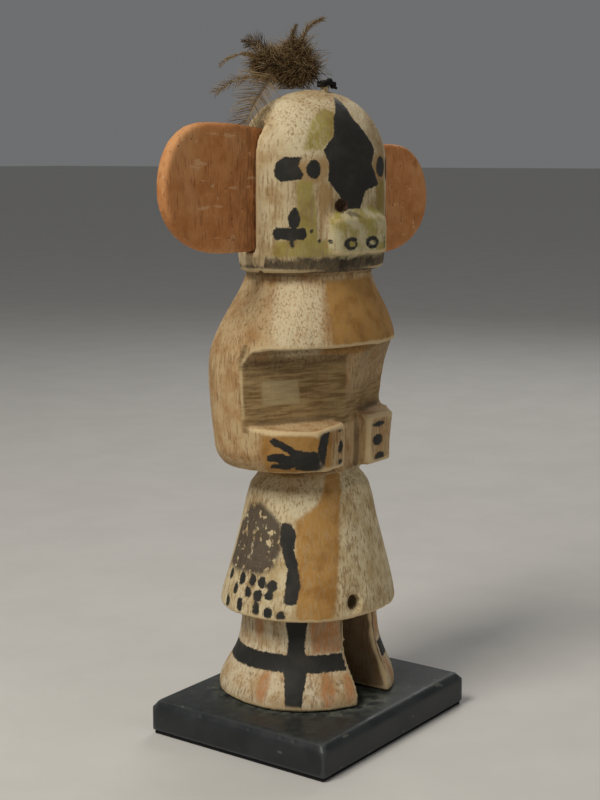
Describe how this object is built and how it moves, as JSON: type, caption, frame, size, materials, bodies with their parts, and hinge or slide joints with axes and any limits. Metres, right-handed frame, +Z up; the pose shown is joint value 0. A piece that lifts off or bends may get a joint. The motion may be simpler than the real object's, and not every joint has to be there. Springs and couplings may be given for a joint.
{
  "type": "kachina doll",
  "caption": "Carved and painted wooden kachina doll with a cylindrical helmet, plate ears and a feather tuft, standing on a bevelled plinth.",
  "frame": {"origin": "middle of the felt's underside in depth, on the doll's own axis in width", "axes": "+Z up, the doll faces -Y, its own left is +X"},
  "size_m": [0.1785, 0.095, 0.3178],
  "materials": {
    "painted_wood": "matte earth paints, white and ochre worn to the wood, with black and green patterns",
    "ear_paint": "matte terracotta paint, scuffed pale at the rim",
    "bare_wood": "pale unpainted wood",
    "cord": "black twisted cord",
    "feather": "ragged brown feather and matted down",
    "black_paint": "satin black paint, slightly scuffed",
    "felt": "thin black felt"
  },
  "bodies": {
    "root": {"carved_figure": "painted_wood", "right_ear": "ear_paint", "left_ear": "ear_paint", "crown_peg": "bare_wood", "feather_tie": "cord", "feather_down": "feather", "feather_upright": "feather", "feather_spike": "feather", "feather_dark_plume": "feather", "feather_wisp": "feather", "feather_side": "feather", "feather_hanging": "feather", "feather_back": "feather", "plinth": "black_paint", "felt_pad": "felt"}
  },
  "joints": []
}
